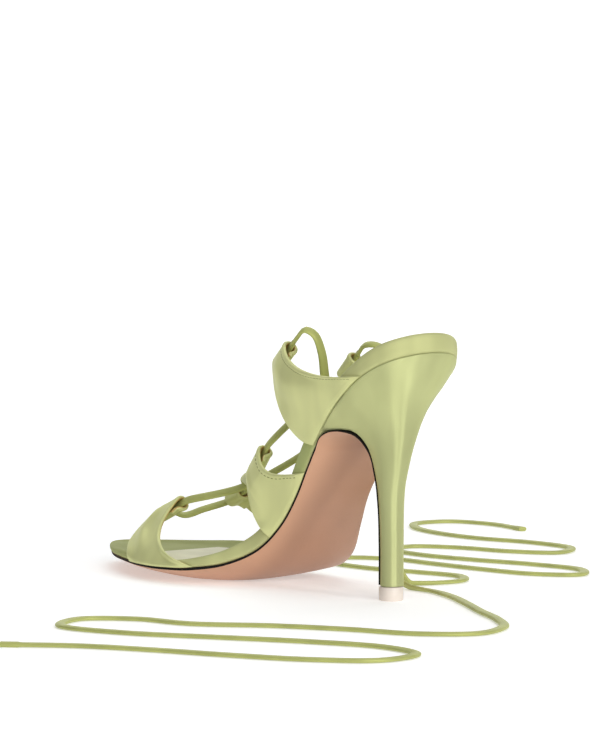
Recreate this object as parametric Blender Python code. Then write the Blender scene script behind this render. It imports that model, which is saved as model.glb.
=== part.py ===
"""Right-foot stiletto sandal whose satin wings are laced over the foot.

Shoe axes, in millimetres: forward from the middle of the heel tip, medial (the wearer's
left), and up from the floor. place() turns them into the part's frame in metres, where
+Y is forward, +X is the lateral side (the wearer's right) and +Z is up.
"""
import math

import bmesh
import bpy
import numpy as np

# Units and origin: middle of the shoe's length and width, on the floor
MM = 0.001
JOIN = 1e-6
ORIGIN_FORWARD = 86.05
ORIGIN_MEDIAL = 0.9

# Driving sizes
SEAT_CENTRE = -4.0
SEAT_RADIUS = 24.3
GAP = 0.3
SOLE_EDGE = 1.2
CROWN_WIDTH = 20.0
RAND_BULGE = 0.9
SEAT_LEAN = 1.8
LEAN_START = -10.0
LEAN_FULL = -20.0
STRAP_THICKNESS = 1.4
STRAP_BASE = 0.8
STRAP_TUCK = 0.17
STRAP_CLEARANCE = 0.8
TUNNEL_RADIUS = 2.9
LACE_RADIUS = 1.5
LACE_POINTS = 80
TOP_LIFT_HEIGHT = 6.0
TOE_FULLNESS = 0.85

# Side profile of the feather line, where upper and sole meet, with the height of the rand,
# the drop of the lateral edge below the medial one, the fullness of the sole's underside and
# the dip of the medial rand
PROFILE_COLUMNS = ("forward", "feather", "rand", "drop", "crown", "dip")
PROFILE = (
    (-36.0, 108.8, 8.2, 0.0, 0.0, 0.0),
    (-30.0, 106.4, 8.2, 0.0, 0.0, 0.0),
    (-20.0, 101.7, 7.9, 0.0, 0.0, 0.0),
    (-8.0, 94.2, 7.6, 0.0, 0.0, 0.0),
    (6.0, 83.8, 7.5, 0.0, 0.0, 0.0),
    (20.0, 71.3, 7.5, 0.0, 0.0, 0.0),
    (34.0, 55.7, 7.5, 0.3, 0.3, 0.0),
    (46.0, 41.5, 7.4, 1.2, 0.8, 0.0),
    (58.0, 28.5, 7.2, 2.6, 1.5, 0.0),
    (70.0, 17.7, 6.8, 3.5, 3.0, 0.2),
    (84.0, 10.5, 6.0, 3.2, 4.6, 1.2),
    (98.0, 7.7, 5.3, 2.3, 5.9, 1.6),
    (112.0, 7.1, 4.8, 1.3, 6.4, 1.8),
    (130.0, 7.1, 4.5, 0.4, 6.2, 1.4),
    (150.0, 7.8, 3.6, 0.0, 5.6, 0.6),
    (170.0, 8.0, 2.4, 0.0, 4.0, 0.0),
    (186.0, 8.7, 1.2, 0.0, 1.2, 0.0),
    (204.0, 8.7, 0.7, 0.0, 0.0, 0.0),
)
DROP_REACH = 36.0

# Half widths of the sole on each side of the shoe's axis
OUTLINE_COLUMNS = ("forward", "medial", "lateral")
OUTLINE = (
    (SEAT_CENTRE, SEAT_RADIUS, SEAT_RADIUS),
    (6.0, 23.8, 25.0),
    (20.0, 21.6, 24.0),
    (34.0, 18.8, 21.4),
    (46.0, 16.2, 22.4),
    (58.0, 15.4, 27.2),
    (70.0, 18.2, 32.8),
    (84.0, 25.8, 36.4),
    (98.0, 34.0, 37.2),
    (112.0, 38.4, 36.6),
    (130.0, 38.4, 34.4),
    (150.0, 34.2, 29.8),
    (168.0, 26.8, 23.0),
    (182.0, 18.4, 15.2),
    (190.0, 12.4, 9.8),
)

# Outsole where it leaves the feather line and runs down the front of the heel
BREAST_COLUMNS = ("forward", "up", "medial", "lateral")
BREAST = (
    (21.4, 68.4, 21.4, 23.6),
    (16.0, 71.0, 20.0, 22.0),
    (12.0, 71.0, 17.0, 18.4),
    (8.4, 69.2, 13.0, 13.8),
    (6.0, 63.0, 8.4, 8.6),
    (4.8, 52.5, 5.6, 5.6),
    (3.6, 40.0, 4.7, 4.7),
    (3.2, 22.0, 4.3, 4.3),
    (3.2, 6.6, 4.3, 4.3),
)
WAIST_END = 27.0

# Heel sections, from its tip to the seat: front and back ends and half widths
HEEL_COLUMNS = ("front", "front_up", "back", "back_up", "wide", "front_wide")
HEEL = (
    (2.2, 6.3, -5.0, 6.3, 4.9, 4.3),
    (2.2, 22.0, -5.0, 25.0, 4.9, 4.3),
    (2.6, 40.0, -5.3, 45.0, 5.3, 4.7),
    (3.8, 52.6, -8.2, 58.5, 6.4, 5.6),
    (5.0, 63.6, -11.4, 70.5, 9.3, 8.3),
    (7.6, 70.4, -14.8, 82.0, 13.6, 12.8),
    (12.0, 72.0, -20.3, 92.8, 17.6, 17.0),
    (17.6, 71.5, -24.4, 100.2, 21.2, 20.4),
)
HEEL_FRONT = 19.5
HEEL_FLARE = 0.6

# Wings: ends of the base along the feather line and along the rand's top edge, then the
# bend and the tip of the rear and front edges, each as (forward, medial, up)
WING_COLUMNS = ("low", "high", "rear_bend", "rear_tip", "front_bend", "front_tip")
WINGS = {
    "wing_toe_medial": (
        (97, 137), (108, 139.5),
        (134.5, 33, 18), (132, 17, 34.2), (152, 31.5, 16), (146, 18.5, 28)),
    "wing_toe_lateral": (
        (94, 124), (102, 125),
        (119, -30.5, 21), (126.5, -16, 37.5), (127, -28, 22), (136, -16.5, 33.5)),
    "wing_mid_medial": (
        (37, 64), (42, 65),
        (65, 23, 47.5), (74, 15, 59.6), (74.6, 21.5, 36.5), (83, 15, 48.5)),
    "wing_mid_lateral": (
        (37, 64), (42, 65),
        (64, -25, 59), (68.5, -17.5, 73), (75, -27, 48), (78, -18, 61.5)),
    "wing_rear_medial": (
        (-9.5, 26), (-1, 29),
        (38, 26.5, 93), (52.5, 17.5, 105), (49, 26.5, 76.5), (61.5, 16.5, 98)),
    "wing_rear_lateral": (
        (-9.5, 26), (-1, 29),
        (44, -23.5, 90), (48.5, -19.5, 99.5), (54.5, -25.5, 74), (56.5, -19.5, 92)),
}
REAR_TAPER = {"toe": 0.0, "mid": 0.2, "rear": 0.3}
WING_ACROSS = 7
WING_SIDE_ROWS = 4
WING_PANEL_ROWS = 8
WING_LOOP_ROWS = 9
FLAP_ROWS = 2
LOOP_END = math.radians(283)
FLAP_LENGTH = 4.5
FLAP_GAP = 0.5

# Mesh steps
LENGTH_STEPS = 34
TOE_STEPS = 5
BREAST_STEPS = 26
SEAT_STEPS = 7
SOLE_ACROSS = 7
HEEL_STEPS = 12
HEEL_ROUND = 8
HEEL_SIDE = 4

# Free ends of the lace, from the rear tunnels to the floor: (forward, medial, up)
FLOOR = LACE_RADIUS + 0.15
TIE_MEDIAL = (
    (41.6, 14.6, 112.4), (38.6, 11.6, 110.4), (37.6, 8.6, 103), (38.2, 6.4, 92), (39.4, 3.4, 80),
    (41.2, -1.5, 69), (42, -8, 64.3), (41.6, -14, 63.2), (41.2, -19.5, 63.4), (41, -24, 61),
    (40.6, -26.8, 55), (40, -27.9, 46), (39.2, -28.2, 30), (38, -28.4, 15), (34, -29.2, 5),
    (25, -30.4, FLOOR), (10, -30, FLOOR), (-10, -24, FLOOR), (-34, -13, FLOOR), (-60, 0, FLOOR),
    (-86, 12, FLOOR), (-108, 27, FLOOR), (-118, 48, FLOOR), (-104, 68, FLOOR), (-78, 80, FLOOR),
    (-50, 97, FLOOR), (-24, 120, FLOOR), (2, 128, FLOOR), (16, 146, FLOOR), (0, 166, FLOOR),
    (-34, 158, FLOOR), (-66, 138, FLOOR), (-98, 118, FLOOR), (-130, 104, FLOOR),
    (-156, 108, FLOOR), (-162, 130, FLOOR), (-144, 150, FLOOR), (-116, 166, FLOOR),
    (-86, 180, FLOOR), (-58, 196, FLOOR), (-36, 218, FLOOR),
)
TIE_LATERAL = (
    (38.4, -17.4, 105.2), (35.6, -19.8, 104.8), (34.6, -24, 102.4), (35.4, -28.4, 95),
    (37.2, -31.4, 82), (39.2, -33.2, 64), (41, -34.2, 44), (42, -34.8, 24), (42, -36, 9),
    (39.5, -40.5, FLOOR), (35, -52, FLOOR), (36, -66, FLOOR), (50, -76, FLOOR),
    (73, -72, FLOOR), (102, -64, FLOOR), (130, -66, FLOOR), (142, -82, FLOOR), (126, -96, FLOOR),
    (97, -99, FLOOR), (66, -102, FLOOR), (38, -108, FLOOR), (24, -122, FLOOR), (40, -136, FLOOR),
    (70, -133, FLOOR), (100, -124, FLOOR), (132, -118, FLOOR), (158, -122, FLOOR),
    (164, -138, FLOOR), (146, -152, FLOOR), (120, -160, FLOOR), (102, -174, FLOOR),
    (114, -192, FLOOR), (144, -194, FLOOR), (176, -186, FLOOR), (206, -186, FLOOR),
    (232, -193, FLOOR), (250, -208, FLOOR), (248, -226, FLOOR), (226, -234, FLOOR),
    (196, -230, FLOOR),
)
TIE_POINTS = 270
TIE_LEAD = 5.0
TIE_HANGS = 12.0

# Colours
SATIN = (0.42, 0.47, 0.20)
SOLE_LEATHER = (0.52, 0.31, 0.23)
LIFT_RUBBER = (0.80, 0.74, 0.70)


def column(table, columns, name):
    return np.array([row[columns.index(name)] for row in table], float)


def smooth(stations, values, at):
    """Read a table between its rows, with slopes from the neighbouring rows."""
    slopes = np.gradient(values, stations)
    at = np.clip(at, stations[0], stations[-1])
    i = np.clip(np.searchsorted(stations, at) - 1, 0, len(stations) - 2)
    step = stations[i + 1] - stations[i]
    t = (at - stations[i]) / step
    ends = (1 + 2 * t) * (1 - t) ** 2 * values[i] + t * t * (3 - 2 * t) * values[i + 1]
    turns = t * (1 - t) ** 2 * slopes[i] - t * t * (1 - t) * slopes[i + 1]
    return ends + step * turns


def profile(name, forward):
    stations = column(PROFILE, PROFILE_COLUMNS, "forward")
    return smooth(stations, column(PROFILE, PROFILE_COLUMNS, name), forward)


def half_width(name, forward):
    """Half width on one side, which follows the round seat behind its centre."""
    stations = column(OUTLINE, OUTLINE_COLUMNS, "forward")
    behind = np.minimum(np.asarray(forward, float) - SEAT_CENTRE, 0)
    round_off = SEAT_RADIUS - np.sqrt(SEAT_RADIUS**2 - behind**2)
    return smooth(stations, column(OUTLINE, OUTLINE_COLUMNS, name), forward) - round_off


def fall(forward, medial):
    """How far the lateral side lies below the medial feather line."""
    return profile("drop", forward) * np.clip(-np.asarray(medial) / DROP_REACH, 0, 1.1) ** 2


def rand_height(forward, medial):
    """Height of the rand's top, which is lower along the medial side of the ball."""
    return profile("rand", forward) - profile("dip", forward) * np.clip(medial / DROP_REACH, 0, 1.1) ** 2


def lift(forward, medial, height):
    """Points at a height above the feather line, square to its slope."""
    forward = np.asarray(forward, float)
    slope = profile("feather", forward + 0.5) - profile("feather", forward - 0.5)
    size = np.sqrt(1 + slope**2)
    up = profile("feather", forward) - fall(forward, medial) + height / size
    return np.stack(np.broadcast_arrays(forward - height * slope / size, medial, up), -1)


def unit(v):
    return v / np.linalg.norm(v, axis=-1, keepdims=True)


def through(points, count):
    """Even points along a smooth curve through the given ones."""
    pts = np.array(points, float)
    pts = np.vstack([2 * pts[0] - pts[1], pts, 2 * pts[-1] - pts[-2]])
    knots = np.concatenate([[0], np.cumsum(np.linalg.norm(np.diff(pts, axis=0), axis=1) ** 0.5)])
    fine = []
    for i in range(1, len(pts) - 2):
        t0, t1, t2, t3 = knots[i - 1:i + 3]
        t = np.linspace(t1, t2, 24, endpoint=i == len(pts) - 3)[:, None]
        a = ((t1 - t) * pts[i - 1] + (t - t0) * pts[i]) / (t1 - t0)
        b = ((t2 - t) * pts[i] + (t - t1) * pts[i + 1]) / (t2 - t1)
        c = ((t3 - t) * pts[i + 1] + (t - t2) * pts[i + 2]) / (t3 - t2)
        d = ((t2 - t) * a + (t - t0) * b) / (t2 - t0)
        e = ((t3 - t) * b + (t - t1) * c) / (t3 - t1)
        fine.append(((t2 - t) * d + (t - t1) * e) / (t2 - t1))
    fine = np.vstack(fine)
    run = np.concatenate([[0], np.cumsum(np.linalg.norm(np.diff(fine, axis=0), axis=1))])
    even = np.linspace(0, run[-1], count)
    return np.stack([np.interp(even, run, fine[:, k]) for k in range(3)], -1)


def place(points):
    """Shoe axes in millimetres to the part's frame in metres."""
    p = np.asarray(points, float)
    return np.stack([ORIGIN_MEDIAL - p[..., 1], p[..., 0] - ORIGIN_FORWARD, p[..., 2]], -1) * MM


def material(name, colour, roughness):
    mat = bpy.data.materials.new(name)
    mat.use_nodes = True
    shader = mat.node_tree.nodes["Principled BSDF"]
    shader.inputs["Base Color"].default_value = (*colour, 1)
    shader.inputs["Roughness"].default_value = roughness
    return mat


def add(name, data, mat):
    data.materials.append(mat)
    obj = bpy.data.objects.new(name, data)
    bpy.context.scene.collection.objects.link(obj)
    return obj


def add_mesh(name, points, faces, mat):
    """One closed body: doubled points joined, faces turned outward."""
    mesh = bpy.data.meshes.new(name)
    mesh.from_pydata(place(points).tolist(), [], faces)
    work = bmesh.new()
    work.from_mesh(mesh)
    bmesh.ops.remove_doubles(work, verts=work.verts, dist=JOIN)
    bmesh.ops.recalc_face_normals(work, faces=work.faces)
    work.to_mesh(mesh)
    work.free()
    return add(name, mesh, mat)


def loop_faces(rows, across):
    """Quads between rows of closed loops."""
    faces = []
    for r in range(rows - 1):
        for i in range(across):
            j = (i + 1) % across
            faces.append((r * across + i, r * across + j, (r + 1) * across + j, (r + 1) * across + i))
    return faces


def strip_cap(first, half):
    """Quads across a loop whose two halves face each other point by point."""
    last = first + 2 * half - 1
    return [(first + i, first + i + 1, last - i - 1, last - i) for i in range(half - 1)]


def toe_round(count):
    """Medial and lateral ends of the sections round the toe, up to its tip."""
    start = OUTLINE[-1][0]
    medial, lateral = OUTLINE[-1][1], OUTLINE[-1][2]
    step = start - OUTLINE[-2][0]
    closing = (OUTLINE[-2][1] - medial + OUTLINE[-2][2] - lateral) / step
    reach = (medial + lateral) / closing * TOE_FULLNESS
    turn_medial = medial + (medial - OUTLINE[-2][1]) / step * reach
    turn_lateral = lateral + (lateral - OUTLINE[-2][2]) / step * reach
    t = 0.5 * np.sin(np.linspace(0, math.pi / 2, count + 1))[1:]
    a, b, c, d = (1 - t) ** 3, 3 * t * (1 - t) ** 2, 3 * t * t * (1 - t), t**3
    forward = start + (b + c) * reach
    near = a * medial + b * turn_medial - c * turn_lateral - d * lateral
    far = -(a * lateral + b * turn_lateral - c * turn_medial - d * medial)
    return forward, near, far


def sections(first):
    """Forward, medial and lateral edges of the sole from a station to the toe tip."""
    forward = np.linspace(first, OUTLINE[-1][0], LENGTH_STEPS)
    tip_forward, tip_near, tip_far = toe_round(TOE_STEPS)
    near = np.concatenate([half_width("medial", forward), tip_near])
    far = np.concatenate([-half_width("lateral", forward), tip_far])
    return np.concatenate([forward, tip_forward]), near, far


def breast_flap(middle, near, far):
    """The sole from the waist's end down the heel's front: its middle line and two edges."""
    forward, up, medial, lateral = (column(BREAST, BREAST_COLUMNS, name) for name in BREAST_COLUMNS)
    stops = np.vstack([middle[-3], middle[-1], np.column_stack([forward, 0 * forward, up])])
    run = np.concatenate([[0], np.cumsum(np.linalg.norm(np.diff(stops, axis=0), axis=1))])
    line = through(stops, BREAST_STEPS)
    start = 1 + int(np.argmin(np.linalg.norm(line - middle[-1], axis=1)))
    at = np.linspace(0, run[-1], BREAST_STEPS)[start:]
    edge_near = smooth(run, np.concatenate([near[-3:-2], near[-1:], medial]), at)
    edge_far = smooth(run, np.concatenate([far[-3:-2], far[-1:], -lateral]), at)
    return line[start:], edge_near, edge_far


def build_outsole(mat):
    """Leather sole from the toe to the waist, and its flap down the heel's front."""
    forward, near, far = (v[::-1] for v in sections(WAIST_END))
    middle = lift(forward, 0.0, -GAP - SOLE_EDGE / 2)
    flap, flap_near, flap_far = breast_flap(middle, near, far)
    near = np.concatenate([near, flap_near])
    far = np.concatenate([far, flap_far])
    fade = np.minimum(1, (near[:len(forward)] - far[:len(forward)]) / CROWN_WIDTH)
    crown = np.concatenate([profile("crown", forward) * fade, np.zeros(len(flap))])
    half = np.full(len(near), SOLE_EDGE / 2)
    line = np.vstack([middle, flap])
    along = unit(np.gradient(line, axis=0))
    down = np.stack([-along[:, 2], 0 * along[:, 1], along[:, 0]], -1)
    points = []
    t = np.linspace(-1, 1, SOLE_ACROSS)
    for i in range(len(line)):
        side = (near[i] + far[i]) / 2 + (near[i] - far[i]) / 2 * t
        low = line[i] + np.outer(half[i] + crown[i] * (1 - t * t), down[i])
        top = line[i] - np.outer(np.full(SOLE_ACROSS, half[i]), down[i])
        low[:, 1] = side
        top[:, 1] = side
        if i < len(forward):
            low[:, 2] -= fall(forward[i], side)
            top[:, 2] -= fall(forward[i], side)
        low[:, 2] = np.maximum(low[:, 2], 0.0)
        points += [*low, *top[::-1]]
    around = 2 * SOLE_ACROSS
    faces = loop_faces(len(line), around)
    faces += strip_cap(0, SOLE_ACROSS) + strip_cap((len(line) - 1) * around, SOLE_ACROSS)
    return add_mesh("outsole", points, faces, mat)


def rim():
    """The footbed's edge all round, with the point on its spine that each edge point faces."""
    forward, near, far = sections(SEAT_CENTRE)
    angle = np.linspace(0, math.pi / 2, SEAT_STEPS + 1)[:-1]
    seat_forward = SEAT_CENTRE - SEAT_RADIUS * np.cos(angle)
    seat_side = SEAT_RADIUS * np.sin(angle)
    f = np.concatenate([seat_forward, forward, forward[-2::-1], seat_forward[:0:-1]])
    m = np.concatenate([seat_side, near, far[-2::-1], -seat_side[:0:-1]])
    spine_end = OUTLINE[-2][0]
    spine_f = np.clip(f, SEAT_CENTRE, spine_end)
    spine_m = (half_width("medial", spine_f) - half_width("lateral", spine_f)) / 2
    return np.stack([f, m], -1), np.stack([spine_f, spine_m], -1)


def build_footbed(mat):
    """Wrapped insole with a rounded rand all round, which leans out at the back of the seat."""
    edge, spine = rim()
    reach = np.linalg.norm(spine - edge, axis=1, keepdims=True)
    inward = (spine - edge) / reach
    rings = (
        # inset from the edge, share of the way to the spine, share of the rand's height, drop
        (0.0, 1.0, 0.0, 0.0),
        (0.0, 0.65, 0.0, 0.0),
        (0.0, 0.35, 0.0, 0.0),
        (0.4, 0.0, 0.0, 0.0),
        (-0.6 * RAND_BULGE, 0.0, 0.12, 0.0),
        (-RAND_BULGE, 0.0, 0.45, 0.0),
        (-0.8 * RAND_BULGE, 0.0, 0.84, 0.0),
        (0.6, 0.0, 1.0, 0.0),
        (4.5, 0.0, 1.0, 0.5),
        (0.0, 0.5, 1.0, 0.9),
        (0.0, 1.0, 1.0, 1.0),
    )
    lean = SEAT_LEAN * np.clip((LEAN_START - edge[:, :1]) / (LEAN_START - LEAN_FULL), 0, 1)
    points = []
    for inset, share, rise, drop in rings:
        plan = edge + inward * (inset + share * reach - lean * rise * (1 - share))
        height = rise * rand_height(plan[:, 0], plan[:, 1]) - drop
        points += [*lift(plan[:, 0], plan[:, 1], height)]
    return add_mesh("footbed", points, loop_faces(len(rings), len(edge)), mat)


def heel_loop(front, front_up, back, back_up, wide, front_wide):
    """Round-backed section: from its medial front corner round the back to the lateral one."""
    depth = front - back
    turn = min(wide, 0.6 * depth)
    angle = np.linspace(0, math.pi / 2, HEEL_ROUND)
    run = np.linspace(0, 1, HEEL_SIDE + 1)[1:]
    f = np.concatenate([back + turn * (1 - np.cos(angle)), back + turn + (depth - turn) * run])
    out = np.concatenate([wide * np.sin(angle), wide + (front_wide - wide) * run**2])
    up = back_up + (front_up - back_up) * (f - back) / depth
    side = np.stack([f, out, up], -1)
    return np.vstack([side[::-1], side * (1, -1, 1)])


def build_heel(mat):
    rows = np.array(HEEL)
    at = np.linspace(0, len(HEEL) - 1, HEEL_STEPS)
    fine = [smooth(np.arange(len(HEEL)), rows[:, k], at) for k in range(len(HEEL_COLUMNS))]
    loops = [heel_loop(*row) for row in zip(*fine)]
    top = heel_loop(HEEL_FRONT, 0.0, SEAT_CENTRE - SEAT_RADIUS, 1.0, SEAT_RADIUS, SEAT_RADIUS)
    medial = np.minimum(top[:, 1], half_width("medial", np.maximum(top[:, 0], SEAT_CENTRE)))
    medial = np.maximum(medial, -half_width("lateral", np.maximum(top[:, 0], SEAT_CENTRE)))
    medial *= 1 + HEEL_FLARE / SEAT_RADIUS
    loops.append(lift(top[:, 0], medial, -GAP))
    points = np.vstack(loops)
    around = len(top)
    faces = loop_faces(len(loops), around)
    faces += strip_cap(0, around // 2) + strip_cap((len(loops) - 1) * around, around // 2)
    return add_mesh("heel", points, faces, mat)


def build_top_lift(mat):
    front, _, back, _, wide, front_wide = HEEL[0]
    loops = []
    for up, grow in ((0.0, -0.4), (0.5, 0.0), (TOP_LIFT_HEIGHT, 0.0)):
        loops.append(heel_loop(front + 1.0 + grow, up, back - grow, up, wide + grow, front_wide + grow))
    around = len(loops[0])
    faces = loop_faces(3, around) + strip_cap(0, around // 2) + strip_cap(2 * around, around // 2)
    return add_mesh("top_lift", np.vstack(loops), faces, mat)


def edge_point(side, forward, out, height):
    """A point outside the sole's edge, lifted above the feather line."""
    name = "medial" if side > 0 else "lateral"
    slope = half_width(name, forward + 0.5) - half_width(name, forward - 0.5)
    size = np.sqrt(1 + slope**2)
    medial = side * (half_width(name, forward) + out / size)
    return lift(forward - out * slope / size, medial, height)


def bezier(a, b, c, t):
    return (1 - t) ** 2 * a + 2 * t * (1 - t) * b + t * t * c


def tunnel(name):
    """Axis ends of a wing's lace tunnel, with its direction, rise and inward normal."""
    row = dict(zip(WING_COLUMNS, WINGS[name]))
    rear, front = np.array(row["rear_tip"], float), np.array(row["front_tip"], float)
    bend = (np.array(row["rear_bend"], float) + np.array(row["front_bend"], float)) / 2
    axis = unit(front - rear)
    rise = (rear + front) / 2 - bend
    rise = unit(rise - axis * np.dot(rise, axis))
    inward = np.cross(axis, rise) * np.sign(rear[1])
    shift = inward * TUNNEL_RADIUS
    return rear + shift, front + shift, axis, rise, inward


def wing_surface(name):
    """Middle surface of a wing, row by row from the feather line to the folded flap."""
    row = dict(zip(WING_COLUMNS, WINGS[name]))
    side = np.sign(row["rear_tip"][1])
    s = np.linspace(0, 1, WING_ACROSS)
    out = RAND_BULGE + 1.5 * GAP + STRAP_THICKNESS / 2
    low = row["low"][0] + (row["low"][1] - row["low"][0]) * s
    high = row["high"][0] + (row["high"][1] - row["high"][0]) * s
    edge = "medial" if side > 0 else "lateral"
    taper = 1 - REAR_TAPER[name.split("_")[1]] * (1 - s) ** 2
    rows = []
    for k in np.linspace(0, 1, WING_SIDE_ROWS) ** 1.6:
        forward = low + (high - low) * k
        rand = rand_height(forward, side * half_width(edge, forward))
        height = 0.2 + k * taper * (rand + STRAP_CLEARANCE + STRAP_THICKNESS / 2)
        tuck = STRAP_TUCK * rand * max(0.0, 1 - 6 * k) ** 2
        rows.append(edge_point(side, forward, out - tuck - 0.6 * k**4, height))
    base = rows[-1]
    bend = np.outer(1 - s, row["rear_bend"]) + np.outer(s, row["front_bend"])
    tip = np.outer(1 - s, row["rear_tip"]) + np.outer(s, row["front_tip"])
    for t in np.linspace(0, 1, WING_PANEL_ROWS + 1)[1:]:
        rows.append(bezier(base, bend, tip, t))
    speed = 2 * np.linalg.norm(tip - bend, axis=1)[:, None]
    _, _, _, rise, inward = tunnel(name)
    centre = tip + inward * TUNNEL_RADIUS
    for turn in np.linspace(0, LOOP_END, WING_LOOP_ROWS + 1)[1:]:
        rows.append(centre + TUNNEL_RADIUS * (rise * math.sin(turn) - inward * math.cos(turn)))
    lap = inward * (STRAP_THICKNESS + FLAP_GAP)
    for down in np.linspace(0, FLAP_LENGTH, FLAP_ROWS + 1)[1:]:
        rows.append(bezier(base, bend, tip, 1 - (TUNNEL_RADIUS + down) / speed) + lap)
    return np.array(rows)


def build_wing(name, mat):
    middle = wing_surface(name)
    rows, across, _ = middle.shape
    along = np.gradient(middle, axis=0)
    over = np.gradient(middle, axis=1)
    half = np.full(rows, STRAP_THICKNESS / 2)
    half[:2] = STRAP_BASE / 2, (STRAP_BASE + STRAP_THICKNESS) / 4
    normal = unit(np.cross(over, along)) * half[:, None, None]
    points = []
    for r in range(rows):
        points += [*(middle[r] + normal[r]), *(middle[r] - normal[r])[::-1]]
    around = 2 * across
    faces = loop_faces(rows, around)
    faces += strip_cap(0, across) + strip_cap((rows - 1) * around, across)
    return add_mesh(name, points, faces, mat)


def tube(name, points, mat):
    curve = bpy.data.curves.new(name, "CURVE")
    curve.dimensions = "3D"
    curve.bevel_depth = LACE_RADIUS * MM
    curve.bevel_resolution = 2
    curve.use_fill_caps = True
    spline = curve.splines.new("POLY")
    spline.points.add(len(points) - 1)
    for point, at in zip(spline.points, place(points)):
        point.co = (*at, 1)
    return add(name, curve, mat)


def lace_route():
    """Through the tunnels: up one side, across the toes and up the other side."""
    lead = 3.2
    route = []

    def pass_through(wing, forwards):
        rear, front, axis, _, _ = tunnel(wing)
        stops = [rear - axis * lead, rear, front, front + axis * lead]
        route.extend(stops if forwards else stops[::-1])

    pass_through("wing_rear_medial", True)
    route.append((67.0, -0.5, 79.5))
    pass_through("wing_mid_lateral", True)
    route.append((105.5, 0.5, 40.4))
    pass_through("wing_toe_medial", True)
    route.extend([(151.0, 10.5, 27.2), (147.5, 2.5, 24.8), (144.0, -5.0, 27.2)])
    pass_through("wing_toe_lateral", False)
    route.append((106.5, -0.5, 44.6))
    pass_through("wing_mid_medial", False)
    route.append((64.5, 0.5, 74.5))
    pass_through("wing_rear_lateral", False)
    return np.array(route)


def clear_scene():
    for obj in list(bpy.data.objects):
        bpy.data.objects.remove(obj, do_unlink=True)


def main():
    clear_scene()
    leather = material("sole_leather", SOLE_LEATHER, 0.5)
    satin = material("satin", SATIN, 0.45)
    rubber = material("lift_rubber", LIFT_RUBBER, 0.5)
    build_outsole(leather)
    build_footbed(satin)
    build_heel(satin)
    build_top_lift(rubber)
    for name in WINGS:
        build_wing(name, satin)
    route = lace_route()
    tube("lace", through(route, LACE_POINTS), satin)
    for name, first, second, stops in (
        ("tie_medial", route[0], route[1], TIE_MEDIAL),
        ("tie_lateral", route[-1], route[-2], TIE_LATERAL),
    ):
        away = unit(first - second)
        points = through([first + away * GAP, first + away * TIE_LEAD, *stops], TIE_POINTS)
        points[:, 2] = np.maximum(points[:, 2], FLOOR)
        hangs = points[:, 2] > TIE_HANGS
        kept = np.where(hangs, np.arange(TIE_POINTS) % 2, np.arange(TIE_POINTS) % 4) == 0
        kept[-1] = True
        tube(name, points[kept], satin)


main()
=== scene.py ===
"""Looks of a right-foot stiletto sandal with laced satin wings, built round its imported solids.

Shoe axes, in millimetres: forward from the middle of the heel tip, medial (the wearer's
left), and up from the floor. place() turns them into the part's frame in metres.
"""

import math

import bmesh
import bpy
import numpy as np
from mathutils import Matrix


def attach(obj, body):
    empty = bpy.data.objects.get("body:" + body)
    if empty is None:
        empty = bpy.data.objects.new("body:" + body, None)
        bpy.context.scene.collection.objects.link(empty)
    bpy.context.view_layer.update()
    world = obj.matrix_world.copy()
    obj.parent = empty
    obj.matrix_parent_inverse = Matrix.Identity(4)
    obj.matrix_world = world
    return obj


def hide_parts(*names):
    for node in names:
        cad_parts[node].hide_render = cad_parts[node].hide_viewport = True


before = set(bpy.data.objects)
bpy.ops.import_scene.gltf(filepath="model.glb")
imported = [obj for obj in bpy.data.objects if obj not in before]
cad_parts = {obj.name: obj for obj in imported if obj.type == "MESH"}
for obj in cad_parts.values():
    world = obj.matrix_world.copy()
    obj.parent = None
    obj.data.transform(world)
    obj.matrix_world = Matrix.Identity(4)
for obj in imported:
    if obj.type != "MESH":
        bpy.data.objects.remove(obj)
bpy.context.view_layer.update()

# Units and origin, as in the part's source
MM = 0.001
JOIN = 1e-6
ORIGIN_FORWARD = 86.05
ORIGIN_MEDIAL = 0.9

# Driving sizes
SEAT_CENTRE = -4.0
SEAT_RADIUS = 24.3
GAP = 0.3
SOLE_EDGE = 1.2
FLAP_EDGE = 0.8
CROWN_WIDTH = 20.0
RAND_BULGE = 0.9
SEAT_LEAN = 1.8
LEAN_START = -10.0
LEAN_FULL = -20.0
STRAP_THICKNESS = 1.4
STRAP_BASE = 0.8
STRAP_CLEARANCE = 0.8
TUNNEL_RADIUS = 2.9
TOP_LIFT_HEIGHT = 6.0
TOE_FULLNESS = 0.85
WAIST_END = 27.0
HEEL_FRONT = 19.5
HEEL_FLARE = 0.6
DROP_REACH = 36.0
DROP_LIMIT = 1.1

# Slopes are read over 1 mm, half of it on each side
SLOPE_HALF = 0.5

# Flat satin lace, whose section is an ellipse at power 1 and squarer below it; FLOOR is the
# height of a tie's middle where it lies on the floor
LACE_WIDTH = 4.2
LACE_THICKNESS = 1.8
LACE_POWER = 0.8
FLOOR_GAP = 0.15
FLOOR = LACE_THICKNESS / 2 + FLOOR_GAP

# How far the lace and its ties run straight on from a tunnel, and the thicker hem of a tie's end
LACE_LEAD = 3.2
TIE_LEAD = 5.0
HEM_LENGTH = 7.0
HEM_STEP = 0.6
HEM_SWELL = 0.25

# Broad side of the lace: the direction it faces, how fast it turns there, and smoothing passes
LACE_FACING = (-0.1, 0.75, 0.65)
TWIST_RATE = 0.2
TWIST_EASE = 12

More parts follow.
